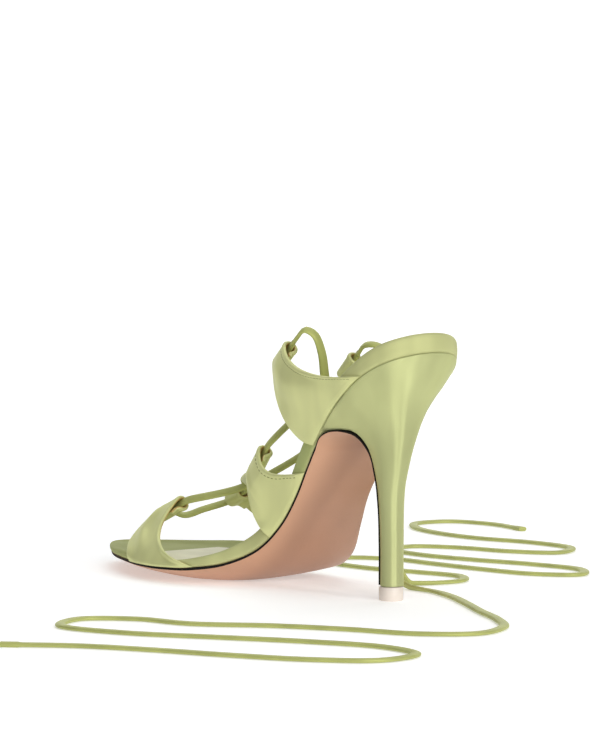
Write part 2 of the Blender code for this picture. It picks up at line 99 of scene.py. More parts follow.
# Side profile of the feather line, where upper and sole meet
PROFILE_COLUMNS = ("forward", "feather", "rand", "drop", "crown", "dip")
PROFILE = (
    (-36.0, 108.8, 8.2, 0.0, 0.0, 0.0),
    (-30.0, 106.4, 8.2, 0.0, 0.0, 0.0),
    (-20.0, 101.7, 7.9, 0.0, 0.0, 0.0),
    (-8.0, 94.2, 7.6, 0.0, 0.0, 0.0),
    (6.0, 83.8, 7.5, 0.0, 0.0, 0.0),
    (20.0, 71.3, 7.5, 0.0, 0.0, 0.0),
    (34.0, 55.7, 7.5, 0.3, 0.3, 0.0),
    (46.0, 41.5, 7.4, 1.2, 0.8, 0.0),
    (58.0, 28.5, 7.2, 2.6, 1.5, 0.0),
    (70.0, 17.7, 6.8, 3.5, 3.0, 0.2),
    (84.0, 10.5, 6.0, 3.2, 4.6, 1.2),
    (98.0, 7.7, 5.3, 2.3, 5.9, 1.6),
    (112.0, 7.1, 4.8, 1.3, 6.4, 1.8),
    (130.0, 7.1, 4.5, 0.4, 6.2, 1.4),
    (150.0, 7.8, 3.6, 0.0, 5.6, 0.6),
    (170.0, 8.0, 2.4, 0.0, 4.0, 0.0),
    (186.0, 8.7, 1.2, 0.0, 1.2, 0.0),
    (204.0, 8.7, 0.7, 0.0, 0.0, 0.0),
)

# Half widths of the sole on each side of the shoe's axis
OUTLINE_COLUMNS = ("forward", "medial", "lateral")
OUTLINE = (
    (SEAT_CENTRE, SEAT_RADIUS, SEAT_RADIUS),
    (6.0, 23.8, 25.0),
    (20.0, 21.6, 24.0),
    (34.0, 18.8, 21.4),
    (46.0, 16.2, 22.4),
    (58.0, 15.4, 27.2),
    (70.0, 18.2, 32.8),
    (84.0, 25.8, 36.4),
    (98.0, 34.0, 37.2),
    (112.0, 38.4, 36.6),
    (130.0, 38.4, 34.4),
    (150.0, 34.2, 29.8),
    (168.0, 26.8, 23.0),
    (182.0, 18.4, 15.2),
    (190.0, 12.4, 9.8),
)

# Outsole where it leaves the feather line and runs down the front of the heel
BREAST_COLUMNS = ("forward", "up", "medial", "lateral")
BREAST = (
    (21.4, 68.4, 21.4, 23.6),
    (16.0, 71.0, 20.0, 22.0),
    (12.0, 71.0, 17.0, 18.4),
    (8.4, 69.2, 13.0, 13.8),
    (6.0, 63.0, 8.4, 8.6),
    (4.8, 52.5, 5.6, 5.6),
    (3.6, 40.0, 4.7, 4.7),
    (3.2, 22.0, 4.3, 4.3),
    (3.2, 6.6, 4.3, 4.3),
)

# Bevel under the outsole's edge: its width, at most a share of the sole's, and its height
BEVEL_WIDTH = 0.35
BEVEL_SHARE = 0.1
BEVEL_HEIGHT = 0.25

# Rows before the outsole's flap: where its curve sets in, and where its upper side is painted
FLAP_LEAD_ROWS = 8
FLAP_PAINT_ROWS = 4

# Section of the footbed's rand: inset from the sole's edge, share of the rand's height, drop
RAND_SECTION = (
    (0.4, 0.0, 0.0),
    (-0.6 * RAND_BULGE, 0.12, 0.0),
    (-RAND_BULGE, 0.45, 0.0),
    (-0.8 * RAND_BULGE, 0.84, 0.0),
    (0.6, 1.0, 0.0),
    (3.0, 1.0, 0.1),
)
RAND_STEPS = 26

# Rings of the footbed inside the rand: under it as shares of the way to the spine, then on top
# as inset and drop as far as the sock's edge, then over the sock as shares of the way again
UNDER_SHARES = (1.0, 0.65, 0.35)
MARGIN_RINGS = ((4.5, 0.25), (6.5, 0.45), (9.0, 0.65), (13.0, 0.75))
SOCK_SHARES = (0.03, 0.1, 0.25, 0.4, 0.6, 0.8, 1.0)
SOCK_DROP = 0.25

# The top's drops grow to 1 + DISH times from the waist to the ball, within a share of the rand's height
DISH = 2.0
DISH_START = 70.0
DISH_FULL = 95.0
DEEPEST_DISH = 0.6

# Where the footbed's materials begin and end, along the shoe and by ring
FOOTBED_LOOKS = ("rand_satin_painted_shade", "inner_satin", "sock", "waist_satin")
SOCK_END = 150.0
# Painted shade: the toe in front of these places and the footbed's inner wall take darker satin
TOE_SHADE_START_MEDIAL = 136.0
TOE_SHADE_START_LATERAL = 122.0
# Painted shade: darker satin on the medial rand between the wings, between these places
WAIST_SHADE_SPAN = (20.0, 50.0)
WAIST_SHADE_RING = 6
SHADED_WALL_RINGS = 6
SHADED_WALL_RING = len(UNDER_SHARES) + RAND_STEPS - SHADED_WALL_RINGS
SOCK_RING = len(UNDER_SHARES) + RAND_STEPS + len(MARGIN_RINGS) - 1

# Heel sections, from its tip to the seat: front and back ends and half widths
HEEL_COLUMNS = ("front", "front_up", "back", "back_up", "wide", "front_wide")
HEEL = (
    (2.2, 6.3, -5.0, 6.3, 4.9, 4.3),
    (2.2, 22.0, -5.0, 25.0, 4.9, 4.3),
    (2.6, 40.0, -5.3, 45.0, 5.3, 4.7),
    (3.8, 52.6, -8.2, 58.5, 6.4, 5.6),
    (5.0, 63.6, -11.4, 70.5, 9.3, 8.3),
    (7.6, 70.4, -14.8, 82.0, 13.6, 12.8),
    (12.0, 72.0, -20.3, 92.8, 17.6, 17.0),
    (17.6, 71.5, -24.4, 100.2, 21.2, 20.4),
)

# Most of a heel section's depth that its round back takes, steps from the last section to the
# seat, and how much smaller the heel is where it meets the footbed
HEEL_TURN = 0.6
SEAT_BLENDS = (0.34, 0.67, 0.94)
SEAT_TRIM = 0.99

# Top lift: heights with the growth of its section, and how far it stands in front of the heel
LIFT_BEVELS = ((0.0, -0.5), (0.15, -0.2), (0.5, 0.0), (5.6, 0.0), (5.9, -0.2), (TOP_LIFT_HEIGHT, -0.5))
LIFT_FRONT = 1.0

# Wings: ends of the base along the feather line and along the rand's top edge, then the
# bend and the tip of the rear and front edges, each as (forward, medial, up)
WING_COLUMNS = ("low", "high", "rear_bend", "rear_tip", "front_bend", "front_tip")
WINGS = {
    "wing_toe_medial": (
        (97, 137), (108, 139.5),
        (134.5, 33, 18), (132, 17, 34.2), (152, 31.5, 16), (146, 18.5, 28)),
    "wing_toe_lateral": (
        (94, 124), (102, 125),
        (119, -30.5, 21), (126.5, -16, 37.5), (127, -28, 22), (136, -16.5, 33.5)),
    "wing_mid_medial": (
        (37, 64), (42, 65),
        (65, 23, 47.5), (74, 15, 59.6), (74.6, 21.5, 36.5), (83, 15, 48.5)),
    "wing_mid_lateral": (
        (37, 64), (42, 65),
        (64, -25, 59), (68.5, -17.5, 73), (75, -27, 48), (78, -18, 61.5)),
    "wing_rear_medial": (
        (-9.5, 26), (-1, 29),
        (38, 26.5, 93), (52.5, 17.5, 105), (49, 26.5, 76.5), (61.5, 16.5, 98)),
    "wing_rear_lateral": (
        (-9.5, 26), (-1, 29),
        (44, -23.5, 90), (48.5, -19.5, 99.5), (54.5, -25.5, 74), (56.5, -19.5, 92)),
}
REAR_TAPER = {"toe": 0.0, "mid": 0.2, "rear": 0.3}
LOOP_END = math.radians(283)
FLAP_LENGTH = 4.5
FLAP_GAP = 0.5

# Foot of each wing: its height above the feather line, how far it turns in as a share of the
# rand's height, and how soon that ends on the way up
STRAP_FOOT = {"toe": (0.2, 0.17, 2.2), "mid": (-0.1, 0.26, 3.0), "rear": (0.2, 0.17, 2.2)}

# Wings beside the rand: gaps between the two, how far the wing leans in at the rand's top, and
# the share of the way up where it has its full thickness
STRAP_GAPS = 1.5
STRAP_TOP_IN = 0.6
STRAP_FULL = 0.5

# Soft folds of the wings: where each crosses the wing at its base and at its tip, and its half
# width, all as shares of the wing's width from the rear edge, then its height in mm; the folds
# rise and fade between shares of the panel's length
CREASES = {
    "rear": ((0.42, 0.50, 0.36, 1.9), (0.70, 0.85, 0.10, -0.25), (1.0, 1.0, 0.15, -0.6)),
    "mid": ((0.40, 0.50, 0.34, 0.9), (0.78, 0.66, 0.13, 0.9), (1.0, 1.0, 0.15, -0.6)),
    "toe": ((0.62, 0.55, 0.17, 1.4), (1.0, 1.0, 0.20, -0.6)),
}
CREASE_RISE = (-0.25, 0.5)
CREASE_FADE = (0.75, 1.05)

# Raised band along a wing's rear edge: its height, where it ends, and the rows it rises over
BAND_HEIGHT = 0.22
BAND_END = (1.1, 1.6)
BAND_ROWS = (2, 10)

# Lining: strips of the rear edge that show it, the row they start after, and the panel's last
# rows that have it inside
LINED_STRIPS = {"toe": 3, "mid": 2, "rear": 2}
LINED_AFTER = 3
LINED_ROWS = 8

# Seams along the wings' rear edges: the stitches' step, length and radius, their distance from
# the edge, the rows left free at each end, and a stitch's section as shares of both sizes
SEAMS = {"rear": (2.1, 1.95, 0.12), "mid": (2.5, 1.6, 0.2)}
SEAM_DEPTH = 1.75
SEAM_FREE_ROWS = (3, 2)
STITCH_SECTION = ((-0.5, 0.35), (-0.35, 1.0), (0.35, 1.0), (0.5, 0.35))
STITCH_SIDES = 6

# Mesh steps
CURVE_FINE = 24
LENGTH_STEPS = 120
TOE_STEPS = 24
BREAST_STEPS = 70
SEAT_STEPS = 26
SOLE_ACROSS = 25
HEEL_STEPS = 57
HEEL_ROUND = 26
HEEL_SIDE = 12
WING_ACROSS = 41
WING_SIDE_ROWS = 12
SIDE_POWER = 1.6
SIDE_SHARES = np.linspace(0, 1, WING_SIDE_ROWS) ** SIDE_POWER
WING_PANEL_ROWS = 36
WING_LOOP_ROWS = 28
FLAP_ROWS = 6
EDGE_ROUND = 6
LACE_ROUND = 18
LACE_STEPS = 420
TIE_STEPS = 520

# Smoothing passes over a whole wing, and over its low rows away from its edges
WING_EASE = 14
BASE_EASE = 160
BASE_EASE_ROWS = (3, 32)
BASE_EASE_MARGIN = 0.2

# Angles in degrees past which an edge is sharp
SHARP = 40
FOOTBED_SHARP = 50
HEEL_SHARP = 60
WING_SHARP = 70
LACE_SHARP = 60

# Lace from tunnel to tunnel: the wing, whether it runs forwards there, and the points after it
LACE_COURSE = (
    ("wing_rear_medial", True, [(67.0, -0.5, 79.5)]),
    ("wing_mid_lateral", True, [(105.5, 0.5, 40.4)]),
    ("wing_toe_medial", True, [(151.0, 10.5, 27.2), (147.5, 2.5, 24.8), (144.0, -5.0, 27.2)]),
    ("wing_toe_lateral", False, [(106.5, -0.5, 44.6)]),
    ("wing_mid_medial", False, [(64.5, 0.5, 74.5)]),
    ("wing_rear_lateral", False, []),
)

# Free ends of the lace: down from the rear tunnels as (forward, medial, up), then along the floor
MEDIAL_HANG = (
    (41.6, 14.6, 112.4), (38.6, 11.6, 110.4), (37.6, 8.6, 103), (38.2, 6.4, 92), (39.4, 3.4, 80),
    (41.2, -1.5, 69), (42, -8, 64.3), (41.6, -14, 63.2), (41.2, -19.5, 63.4), (41, -24, 61),
    (40.6, -26.8, 55), (40, -27.9, 46), (39.2, -28.2, 30), (38, -28.4, 15), (34, -29.2, 5),
)
MEDIAL_FLOOR = (
    (25, -30.4), (10, -30), (-10, -24), (-34, -13), (-60, 0), (-86, 12), (-108, 27), (-118, 48),
    (-104, 68), (-78, 80), (-50, 97), (-24, 120), (2, 128), (16, 146), (0, 166), (-34, 158), (-66, 138),
    (-98, 118), (-130, 104), (-156, 108), (-162, 130), (-144, 150), (-116, 166), (-86, 180), (-58, 196),
    (-36, 218),
)
LATERAL_HANG = (
    (38.4, -17.4, 105.2), (35.6, -19.8, 104.8), (34.6, -24, 102.4), (35.4, -28.4, 95),
    (37.2, -31.4, 82), (39.2, -33.2, 64), (41, -34.2, 44), (42, -34.8, 24), (42, -36, 9),
)
LATERAL_FLOOR = (
    (39.5, -40.5), (35, -52), (36, -66), (50, -76), (73, -72), (102, -64), (130, -66), (142, -82),
    (126, -96), (97, -99), (66, -102), (38, -108), (24, -122), (40, -136), (70, -133), (100, -124),
    (132, -118), (158, -122), (164, -138), (146, -152), (120, -160), (102, -174), (114, -192),
    (144, -194), (176, -186), (206, -186), (232, -193), (250, -208), (248, -226), (226, -234),
    (196, -230),
)

# Broad side of each tie along its first stretch: distance run, then the direction it faces
TIE_FACING = {
    "tie_medial": (
        (0, (-0.1, 0.5, 0.85)), (14, (-0.6, 0.3, 0.7)), (30, (-1, 0.3, 0)), (46, (-0.7, 0.6, 0.3)),
        (62, (0.6, 0.3, 0.7)), (76, (0.75, -0.1, 0.65)), (84, (0.5, -0.75, 0.5)), (95, (0, -1, 0)),
        (130, (0, -1, 0)), (144, (0, -0.4, 1)), (156, (0, 0, 1))),
    "tie_lateral": (
        (0, (-0.1, 0.5, 0.85)), (12, (-0.5, 0, 0.85)), (22, (-0.3, -0.7, 0.7)), (35, (-0.1, -1, 0.2)),
        (110, (0, -1, 0)), (122, (0, -0.6, 0.8)), (134, (0, 0, 1))),
}

# Camera: direction it looks along, across the floor and down, and its place in metres
CAMERA_PLACE = (-1.21074, -1.66446, 0.22634)
CAMERA_TURN = math.radians(53.51)
CAMERA_PITCH = math.radians(3.71)
CAMERA_LENS = 232.517
CAMERA_SENSOR = 36.0
CAMERA_REACH = 100.0

# Studio, in metres: a floor that runs away from the camera and curves up into a backdrop
STAGE_NEAR = -4.0
STAGE_FAR = 3.0
STAGE_HALF = 6.0
COVE_RADIUS = 1.5
COVE_START = 0.1
COVE_STEPS = 14
BACKDROP_TOP = 6.0
BACKDROP_GLOW = 0.38
BACKDROP_ROUGHNESS = 0.9
BACKDROP_SPECULAR = 0.1
WORLD_GLOW = 0.17

# Lights on the shoe: name, place, aim, size and power in watts
LIGHTS = (
    ("key", (-0.75, -2.05, 0.80), (0, 0, 0.05), (0.9, 1.2), 20.0),
    ("strip", (0.21, -2.19, 0.55), (0, 0, 0.07), (0.32, 1.5), 15.5),
    ("top", (-0.3, -0.5, 2.4), (0, 0, 0), (2.2, 2.2), 12.0),
)

# Light on the backdrop: distance beyond the shoe and height of the lamp and of its aim
WASH_LAMP = (2.2, 4.0)
WASH_AIM = (4.5, 1.4)
WASH_SIZE = (5.0, 1.5)
WASH_POWER = 110.0

# Colours, linear; the rand takes SATIN darkened as painted shade, the wings SATIN lightened as painted
# light
SATIN = (0.53, 0.545, 0.255)
RAND_PAINTED_SHADE = 0.92
WING_PAINTED_LIGHT = 1.22
SATIN_EDGE = (0.85, 0.87, 0.45)
LINING = (0.56, 0.40, 0.13)
# Pale sock lining, made paler still as painted light where it lies in the wings' shade
SOCK_AND_PAINTED_LIGHT = (0.86, 0.84, 0.66)
HEEL_SATIN = (0.525, 0.553, 0.267)
# Darker satin for the footbed's inner wall and toe: painted shade
INNER_AND_TOE_PAINTED_SHADE = (0.40, 0.43, 0.17)
# Darker satin for the medial rand between the wings: painted shade under them
WAIST_PAINTED_SHADE = (0.40, 0.445, 0.175)
# Deeper, darker satin for the lace: painted shade
LACE_PAINTED_SHADE = (0.435, 0.46, 0.155)
SOLE_LEATHER = (0.56, 0.302, 0.182)
# Multiplies the sole leather towards its lateral side: painted shade
SOLE_PAINTED_SHADE = (0.72, 0.70, 0.70)
EDGE_PAINT = (0.012, 0.011, 0.010)
LIFT_RUBBER = (0.80, 0.71, 0.63)
THREAD = (0.22, 0.24, 0.07)
BACKDROP = (0.85, 0.85, 0.85)

# Satins: colour, roughness, metallic, and how far the sheen is drawn out upright
SATINS = {
    "heel_satin": (HEEL_SATIN, 0.5, 0.45, 0.96),
    # The rand's satin is SATIN darkened, as painted shade
    "rand_satin_painted_shade": ([RAND_PAINTED_SHADE * c for c in SATIN], 0.6, 0.1, 0.0),
    # The wings' satin is SATIN lightened, as painted light
    "wing_satin_painted_light": ([WING_PAINTED_LIGHT * c for c in SATIN], 0.4, 0.22, 0.0),
    # The lace's satin is darkened, as painted shade
    "lace_satin_painted_shade": (LACE_PAINTED_SHADE, 0.45, 0.15, 0.0),
}
SATIN_SPECULAR = 0.35
QUARTER_TURN = 0.25

# Other surfaces: colour, roughness and specular level, with painted shade and light on the footbed
GRAINED = {
    "lining": (LINING, 0.6, 0.5),
    "edge_paint": (EDGE_PAINT, 0.7, 0.1),
    "inner_satin": (INNER_AND_TOE_PAINTED_SHADE, 0.7, 0.1),
    "waist_satin": (WAIST_PAINTED_SHADE, 0.7, 0.1),
    "sock": (SOCK_AND_PAINTED_LIGHT, 0.7, 0.1),
    "lift_rubber": (LIFT_RUBBER, 0.45, 0.5),
    "thread": (THREAD, 0.6, 0.5),
}
SOLE_ROUGHNESS = 0.42
SOLE_SPECULAR = 0.5

# The sole's painted shade sets in between these places across the shoe, in metres
SOLE_SHADE_START = -0.016
SOLE_SHADE_FULL = 0.002

# Noise patterns: scale, detail and, where they are drawn out, stretch
# The upright streaks in the satins' colour are partly uneven tone and partly painted sheen
STREAKS_AND_PAINTED_SHEEN = (90.0, 1.0, (1.0, 1.0, 0.2))
SATIN_THREADS = (900.0, 2.0)
SOLE_CLOUD = (28.0, 4.0)
SOLE_GRAIN = (700.0, 4.0)
CLOUD = (60.0, 3.0)
GRAIN = (900.0, 3.0)

# Tone: how far a pattern changes a colour, and the values between which it does
SATIN_SPREAD = 0.08
SOLE_SPREAD = 0.06
GRAIN_SPREAD = 0.06
TONE_START = 0.3
TONE_END = 0.7

# Relief: strength, and depth in metres
SATIN_RELIEF = (0.06, 0.0004)
SOLE_RELIEF = (0.08, 0.0005)
GRAIN_RELIEF = (0.1, 0.0004)


def column(table, columns, name):
    return np.array([row[columns.index(name)] for row in table], float)


def smooth(stations, values, at):
    """Read a table between its rows, with slopes from the neighbouring rows."""
    slopes = np.gradient(values, stations)
    at = np.clip(at, stations[0], stations[-1])
    i = np.clip(np.searchsorted(stations, at) - 1, 0, len(stations) - 2)
    step = stations[i + 1] - stations[i]
    t = (at - stations[i]) / step
    ends = (1 + 2 * t) * (1 - t) ** 2 * values[i] + t * t * (3 - 2 * t) * values[i + 1]
    turns = t * (1 - t) ** 2 * slopes[i] - t * t * (1 - t) * slopes[i + 1]
    return ends + step * turns


def profile(name, forward):
    stations = column(PROFILE, PROFILE_COLUMNS, "forward")
    return smooth(stations, column(PROFILE, PROFILE_COLUMNS, name), forward)


def half_width(name, forward):
    """Half width on one side, which follows the round seat behind its centre."""
    stations = column(OUTLINE, OUTLINE_COLUMNS, "forward")
    behind = np.minimum(np.asarray(forward, float) - SEAT_CENTRE, 0)
    round_off = SEAT_RADIUS - np.sqrt(SEAT_RADIUS**2 - behind**2)
    return smooth(stations, column(OUTLINE, OUTLINE_COLUMNS, name), forward) - round_off


def fall(forward, medial):
    """How far the lateral side lies below the medial feather line."""
    return profile("drop", forward) * np.clip(-np.asarray(medial) / DROP_REACH, 0, DROP_LIMIT) ** 2


def rand_height(forward, medial):
    """Height of the rand's top, which is lower along the medial side of the ball."""
    dip = profile("dip", forward) * np.clip(medial / DROP_REACH, 0, DROP_LIMIT) ** 2
    return profile("rand", forward) - dip


def lift(forward, medial, height):
    """Points at a height above the feather line, square to its slope."""
    forward = np.asarray(forward, float)
    slope = profile("feather", forward + SLOPE_HALF) - profile("feather", forward - SLOPE_HALF)
    size = np.sqrt(1 + slope**2)
    up = profile("feather", forward) - fall(forward, medial) + height / size
    return np.stack(np.broadcast_arrays(forward - height * slope / size, medial, up), -1)


def unit(v):
    return v / np.linalg.norm(v, axis=-1, keepdims=True)


def run_along(points):
    """Distance run along a line at each of its points."""
    return np.concatenate([[0], np.cumsum(np.linalg.norm(np.diff(points, axis=0), axis=1))])


def read_along(at, run, rows):
    """Rows of three numbers, read at distances along their line."""
    return np.stack([np.interp(at, run, rows[:, k]) for k in range(3)], -1)


def through(points, count):
    """Even points along a smooth curve through the given ones."""
    pts = np.array(points, float)
    pts = np.vstack([2 * pts[0] - pts[1], pts, 2 * pts[-1] - pts[-2]])
    knots = np.concatenate([[0], np.cumsum(np.linalg.norm(np.diff(pts, axis=0), axis=1) ** 0.5)])
    fine = []
    for i in range(1, len(pts) - 2):
        t0, t1, t2, t3 = knots[i - 1:i + 3]
        t = np.linspace(t1, t2, CURVE_FINE, endpoint=i == len(pts) - 3)[:, None]
        a = ((t1 - t) * pts[i - 1] + (t - t0) * pts[i]) / (t1 - t0)
        b = ((t2 - t) * pts[i] + (t - t1) * pts[i + 1]) / (t2 - t1)
        c = ((t3 - t) * pts[i + 1] + (t - t2) * pts[i + 2]) / (t3 - t2)
        d = ((t2 - t) * a + (t - t0) * b) / (t2 - t0)
        e = ((t3 - t) * b + (t - t1) * c) / (t3 - t1)
        fine.append(((t2 - t) * d + (t - t1) * e) / (t2 - t1))
    fine = np.vstack(fine)
    run = run_along(fine)
    return read_along(np.linspace(0, run[-1], count), run, fine)


def place(points):
    """Shoe axes in millimetres to the part's frame in metres."""
    p = np.asarray(points, float)
    return np.stack([ORIGIN_MEDIAL - p[..., 1], p[..., 0] - ORIGIN_FORWARD, p[..., 2]], -1) * MM


def step_up(x, low, high):
    """Smooth ramp from 0 at low to 1 at high."""
    t = np.clip((x - low) / (high - low), 0, 1)
    return t * t * (3 - 2 * t)


def ease(rows, passes):
    """Smooth rows in place, all but the first and the last."""
    for _ in range(passes):
        rows[1:-1] = 0.5 * rows[1:-1] + 0.25 * (rows[:-2] + rows[2:])


def bezier(a, b, c, t):
    return (1 - t) ** 2 * a + 2 * t * (1 - t) * b + t * t * c


def loop_faces(rows, around):
    """Quads between rows of closed loops."""
    faces = []
    for r in range(rows - 1):
        for i in range(around):
            j = (i + 1) % around
            faces.append((r * around + i, r * around + j, (r + 1) * around + j, (r + 1) * around + i))
    return faces


def end_rings(rows, around):
    """One face over the first loop and one over the last."""
    ring = list(range(around))
    return [ring, [(rows - 1) * around + i for i in ring]]


def end_caps(rows, around):
    """Quads over the first and last loops, whose two halves face each other point by point."""
    faces = []
    for first in (0, (rows - 1) * around):
        last = first + around - 1
        faces += [(first + i, first + i + 1, last - i - 1, last - i) for i in range(around // 2 - 1)]
    return faces


def piece(name, points, faces, materials, tint=None, node=None, sharp=SHARP):
    """One visual piece that rides with the shoe; tint gives each face its material's index."""
    mesh = bpy.data.meshes.new(name)
    mesh.from_pydata(place(points).tolist(), [], faces)
    for mat in materials:
        mesh.materials.append(mat)
    if tint is not None:
        mesh.polygons.foreach_set("material_index", np.array(tint, np.int32))
    work = bmesh.new()
    work.from_mesh(mesh)
    bmesh.ops.remove_doubles(work, verts=work.verts, dist=JOIN)
    bmesh.ops.recalc_face_normals(work, faces=work.faces)
    work.to_mesh(mesh)
    work.free()
    mesh.shade_smooth()
    mesh.set_sharp_from_angle(angle=math.radians(sharp))
    obj = bpy.data.objects.new(name, mesh)
    bpy.context.scene.collection.objects.link(obj)
    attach(obj, "root")
    if node:
        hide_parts(node)
    return obj


def new_material(name, colour, roughness, specular):
    mat = bpy.data.materials.new(name)
    mat.use_nodes = True
    shader = mat.node_tree.nodes["Principled BSDF"]
    shader.inputs["Base Color"].default_value = (*colour, 1)
    shader.inputs["Roughness"].default_value = roughness
    shader.inputs["Specular IOR Level"].default_value = specular
    return mat, mat.node_tree, shader


def noise(tree, scale, detail, stretch=(1.0, 1.0, 1.0)):
    """Noise in object space, where one unit is a metre."""
    spot = tree.nodes.new("ShaderNodeTexCoord")
    shape = tree.nodes.new("ShaderNodeMapping")
    shape.inputs["Scale"].default_value = stretch
    node = tree.nodes.new("ShaderNodeTexNoise")
    node.inputs["Scale"].default_value = scale
    node.inputs["Detail"].default_value = detail
    tree.links.new(spot.outputs["Object"], shape.inputs["Vector"])
    tree.links.new(shape.outputs["Vector"], node.inputs["Vector"])
    return node.outputs["Fac"]


def link_relief(tree, shader, pattern, strength, depth):
    bump = tree.nodes.new("ShaderNodeBump")
    bump.inputs["Strength"].default_value = strength
    bump.inputs["Distance"].default_value = depth
    tree.links.new(pattern, bump.inputs["Height"])
    tree.links.new(bump.outputs["Normal"], shader.inputs["Normal"])


def vary_tone(tree, pattern, colour, spread):
    """A colour that runs a little darker and lighter with a pattern."""
    ramp = tree.nodes.new("ShaderNodeValToRGB")
    for end, position, gain in ((0, TONE_START, 1 - spread), (1, TONE_END, 1 + spread)):
        ramp.color_ramp.elements[end].position = position
        ramp.color_ramp.elements[end].color = (*[gain * c for c in colour], 1)
    tree.links.new(pattern, ramp.inputs["Fac"])
    return ramp.outputs["Color"]


def satin_material(name, colour, roughness, metallic, upright):
    """Cloth with a broad sheen, and faint upright streaks of painted sheen and uneven tone in its colour.

    Upright is how far the sheen is drawn out along the heel's height.
    """
    mat, tree, shader = new_material(name, colour, roughness, SATIN_SPECULAR)
    if upright:
        lay = tree.nodes.new("ShaderNodeTangent")
        lay.direction_type = "RADIAL"
        lay.axis = "Z"
        tree.links.new(lay.outputs["Tangent"], shader.inputs["Tangent"])
        shader.inputs["Anisotropic"].default_value = upright
        shader.inputs["Anisotropic Rotation"].default_value = QUARTER_TURN
    # Painted sheen: faint upright streaks in the colour, partly uneven tone
    tone = vary_tone(tree, noise(tree, *STREAKS_AND_PAINTED_SHEEN), colour, SATIN_SPREAD)
    tree.links.new(tone, shader.inputs["Base Color"])
    shader.inputs["Metallic"].default_value = metallic
    shader.inputs["Specular Tint"].default_value = (*SATIN_EDGE, 1)
    link_relief(tree, shader, noise(tree, *SATIN_THREADS), *SATIN_RELIEF)
    return mat


def grained_material(name, colour, roughness, specular):
    """A surface a little uneven in tone, with a fine grain."""
    mat, tree, shader = new_material(name, colour, roughness, specular)
    tone = vary_tone(tree, noise(tree, *CLOUD), colour, GRAIN_SPREAD)
    tree.links.new(tone, shader.inputs["Base Color"])
    link_relief(tree, shader, noise(tree, *GRAIN), *GRAIN_RELIEF)
    return mat


def leather_material():
    """Smooth sole leather, uneven in tone and darker towards its lateral side as painted shade."""
    mat, tree, shader = new_material("sole_leather", SOLE_LEATHER, SOLE_ROUGHNESS, SOLE_SPECULAR)
    spot = tree.nodes.new("ShaderNodeTexCoord")
    axes = tree.nodes.new("ShaderNodeSeparateXYZ")
    across = tree.nodes.new("ShaderNodeMapRange")
    across.inputs["From Min"].default_value = SOLE_SHADE_START
    across.inputs["From Max"].default_value = SOLE_SHADE_FULL
    across.interpolation_type = "SMOOTHSTEP"
    # Painted shade: the leather darkens towards its lateral side
    tone = tree.nodes.new("ShaderNodeMix")
    tone.data_type = "RGBA"
    tone.blend_type = "MULTIPLY"
    tone.inputs["B"].default_value = (*SOLE_PAINTED_SHADE, 1)
    tree.links.new(spot.outputs["Object"], axes.inputs["Vector"])
    tree.links.new(axes.outputs["X"], across.inputs["Value"])
    tree.links.new(across.outputs["Result"], tone.inputs["Factor"])
    cloud = vary_tone(tree, noise(tree, *SOLE_CLOUD), SOLE_LEATHER, SOLE_SPREAD)
    tree.links.new(cloud, tone.inputs["A"])
    tree.links.new(tone.outputs["Result"], shader.inputs["Base Color"])
    link_relief(tree, shader, noise(tree, *SOLE_GRAIN), *SOLE_RELIEF)
    return mat


def toe_round(count):
    """Medial and lateral ends of the sections round the toe, up to its tip."""
    before, medial_before, lateral_before = OUTLINE[-2]
    start, medial, lateral = OUTLINE[-1]
    step = start - before
    closing = (medial_before - medial + lateral_before - lateral) / step
    reach = (medial + lateral) / closing * TOE_FULLNESS
    turn_medial = medial + (medial - medial_before) / step * reach
    turn_lateral = lateral + (lateral - lateral_before) / step * reach
    t = 0.5 * np.sin(np.linspace(0, math.pi / 2, count + 1))[1:]
    a, b, c, d = (1 - t) ** 3, 3 * t * (1 - t) ** 2, 3 * t * t * (1 - t), t**3
    forward = start + (b + c) * reach
    near = a * medial + b * turn_medial - c * turn_lateral - d * lateral
    far = -(a * lateral + b * turn_lateral - c * turn_medial - d * medial)
    return forward, near, far


def sections(first):
    """Forward, medial and lateral edges of the sole from a station to the toe tip."""
    forward = np.linspace(first, OUTLINE[-1][0], LENGTH_STEPS)
    tip_forward, tip_near, tip_far = toe_round(TOE_STEPS)
    near = np.concatenate([half_width("medial", forward), tip_near])
    far = np.concatenate([-half_width("lateral", forward), tip_far])
    return np.concatenate([forward, tip_forward]), near, far


def breast_flap(middle, near, far):
    """The sole from the waist's end down the heel's front: its middle line and two edges."""
    forward, up, medial, lateral = (column(BREAST, BREAST_COLUMNS, name) for name in BREAST_COLUMNS)
    lead = [-FLAP_LEAD_ROWS, -1]
    stops = np.vstack([middle[lead], np.column_stack([forward, 0 * forward, up])])
    run = run_along(stops)
    line = through(stops, BREAST_STEPS)
    start = 1 + int(np.argmin(np.linalg.norm(line - middle[-1], axis=1)))
    at = np.linspace(0, run[-1], BREAST_STEPS)[start:]
    edge_near = smooth(run, np.concatenate([near[lead], medial]), at)
    edge_far = smooth(run, np.concatenate([far[lead], -lateral]), at)
    return line[start:], edge_near, edge_far


